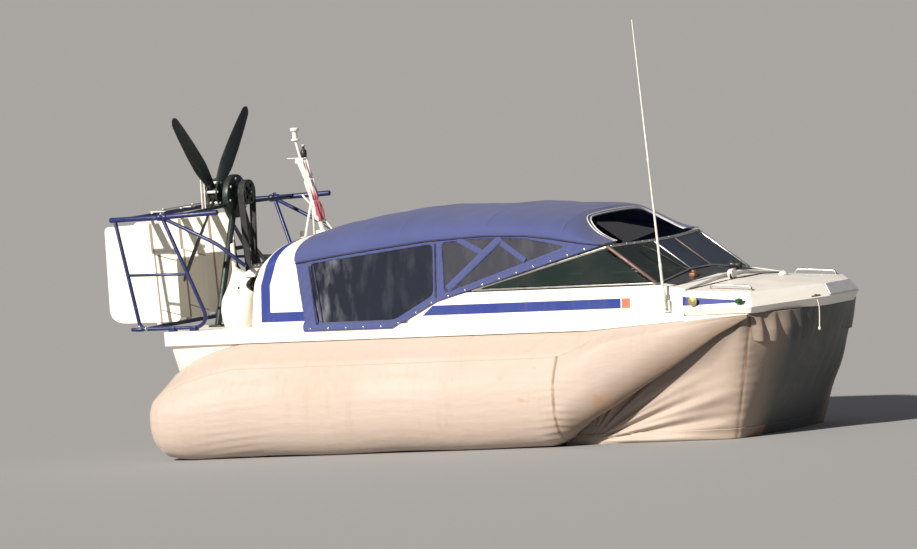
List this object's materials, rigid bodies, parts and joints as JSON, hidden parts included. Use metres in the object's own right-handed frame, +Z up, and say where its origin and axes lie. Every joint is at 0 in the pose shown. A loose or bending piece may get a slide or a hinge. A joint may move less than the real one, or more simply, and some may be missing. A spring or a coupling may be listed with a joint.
{
  "type": "passenger hovercraft",
  "caption": "Small passenger hovercraft with full skirt bags, canvas canopy with clear curtains, open pusher propeller, linked rudders, mast and whip antenna",
  "frame": {"origin": "on the ground, under the middle of the whole craft", "axes": "+X towards the bow, +Y to port, +Z up"},
  "size_m": [6.58, 2.528, 3.5092],
  "materials": {
    "gelcoat_white": "glossy moulded gelcoat, weathered",
    "step_grey": "matt grey",
    "skirt_fabric": "coated cloth, wrinkled",
    "blue_canvas": "woven acrylic canvas",
    "clear_vinyl": "flexible clear sheet",
    "tinted_glass": "dark tint",
    "bare_aluminium": "satin",
    "dark_plastic": "matt moulding",
    "wheel_black": "soft grip",
    "seat_vinyl": "vinyl cover",
    "dark_steel": "dark green-black paint",
    "blade_black": "composite blades, satin",
    "belt_rubber": "matt",
    "white_plastic": "glossy",
    "mast_white": "white paint",
    "guard_blue": "navy blue paint",
    "rudder_white": "cream-white paint"
  },
  "bodies": {
    "craft": {"hull": "gelcoat_white", "main_deck": "gelcoat_white", "coaming_starboard": "gelcoat_white", "coaming_port": "gelcoat_white", "cabin_trunk": "gelcoat_white", "foredeck": "gelcoat_white", "rear_cowl": "gelcoat_white", "bow_step_plate": "step_grey", "side_bag_starboard": "skirt_fabric", "side_bag_port": "skirt_fabric", "stern_bag": "skirt_fabric", "bow_curtain": "skirt_fabric", "bow_flap": "skirt_fabric", "canopy_top": "blue_canvas", "side_curtain_starboard": "blue_canvas", "side_curtain_port": "blue_canvas", "aft_window_starboard": "clear_vinyl", "aft_window_port": "clear_vinyl", "fore_window_starboard": "clear_vinyl", "fore_window_port": "clear_vinyl", "windshield_pane_starboard": "tinted_glass", "windshield_pane_centre": "tinted_glass", "windshield_pane_port": "tinted_glass", "side_glass_starboard": "tinted_glass", "side_glass_port": "tinted_glass", "windshield_frame": "bare_aluminium", "fan_grille": "bare_aluminium", "dashboard": "dark_plastic", "seat_starboard": "seat_vinyl", "seat_port": "seat_vinyl", "rear_bench": "seat_vinyl", "engine_block": "dark_steel", "propeller_tower": "dark_steel", "drive_belt": "belt_rubber", "landing_skid_starboard": "belt_rubber", "landing_skid_port": "belt_rubber", "air_scoop_starboard": "white_plastic", "air_scoop_port": "white_plastic", "antenna_mount": "white_plastic", "grab_rail_starboard": "white_plastic", "grab_rail_port": "white_plastic", "mast": "mast_white", "guard_side_starboard": "guard_blue", "guard_side_port": "guard_blue", "rudder_beam_upper": "guard_blue", "rudder_beam_lower": "guard_blue"},
    "propeller_group": {"propeller": "blade_black", "propeller_shaft": "bare_aluminium"},
    "crank_group": {"crank_pulley": "dark_steel"},
    "lift_fan_group": {"lift_fan": "dark_plastic"},
    "rudder_centre_group": {"rudder_centre": "rudder_white"},
    "rudder_starboard_group": {"rudder_starboard": "rudder_white"},
    "rudder_port_group": {"rudder_port": "rudder_white"},
    "tie_bar_group": {"rudder_tie_bar": "bare_aluminium"},
    "helm_group": {"steering_wheel": "wheel_black"},
    "antenna_group": {"antenna_whip": "white_plastic"}
  },
  "joints": [
    {"name": "propeller_spin", "type": "hinge", "parent": "craft", "child": "propeller_group", "pos_m": [-2.5, 0, 2.15], "axis": [1, 0, 0], "continuous": true},
    {"name": "crank_spin", "type": "hinge", "parent": "craft", "child": "crank_group", "pos_m": [-2.205, 0, 1.35], "axis": [1, 0, 0], "continuous": true},
    {"name": "lift_fan_spin", "type": "hinge", "parent": "craft", "child": "lift_fan_group", "pos_m": [-1.695, 0, 1.35], "axis": [1, 0, 0], "continuous": true},
    {"name": "rudder_centre_turn", "type": "hinge", "parent": "craft", "child": "rudder_centre_group", "pos_m": [-2.83, 0, 1.5], "axis": [0, 0, 1], "range_deg": [-30, 30]},
    {"name": "rudder_starboard_turn", "type": "hinge", "parent": "craft", "child": "rudder_starboard_group", "pos_m": [-2.83, -0.53, 1.5], "axis": [0, 0, 1], "range_deg": [-30, 30]},
    {"name": "rudder_port_turn", "type": "hinge", "parent": "craft", "child": "rudder_port_group", "pos_m": [-2.83, 0.53, 1.5], "axis": [0, 0, 1], "range_deg": [-30, 30]},
    {"name": "tie_bar_swing", "type": "hinge", "parent": "rudder_centre_group", "child": "tie_bar_group", "pos_m": [-2.725, 0, 2.06], "axis": [0, 0, 1], "range_deg": [-30, 30]},
    {"name": "helm_turn", "type": "hinge", "parent": "craft", "child": "helm_group", "pos_m": [1.515, 0.36, 1.19], "axis": [-0.9063, 0, 0.4226], "range_deg": [-120, 120]},
    {"name": "antenna_fold", "type": "hinge", "parent": "craft", "child": "antenna_group", "pos_m": [2.112, -0.972, 1.122], "axis": [0, -1, 0], "range_deg": [0, 85]}
  ],
  "couplings": [
    {"joint": "crank_spin", "follows": "propeller_spin", "ratio": 2.5},
    {"joint": "lift_fan_spin", "follows": "propeller_spin", "ratio": 2.5},
    {"joint": "rudder_starboard_turn", "follows": "rudder_centre_turn", "ratio": 1},
    {"joint": "rudder_port_turn", "follows": "rudder_centre_turn", "ratio": 1},
    {"joint": "tie_bar_swing", "follows": "rudder_centre_turn", "ratio": -1},
    {"joint": "helm_turn", "follows": "rudder_centre_turn", "ratio": 4}
  ]
}
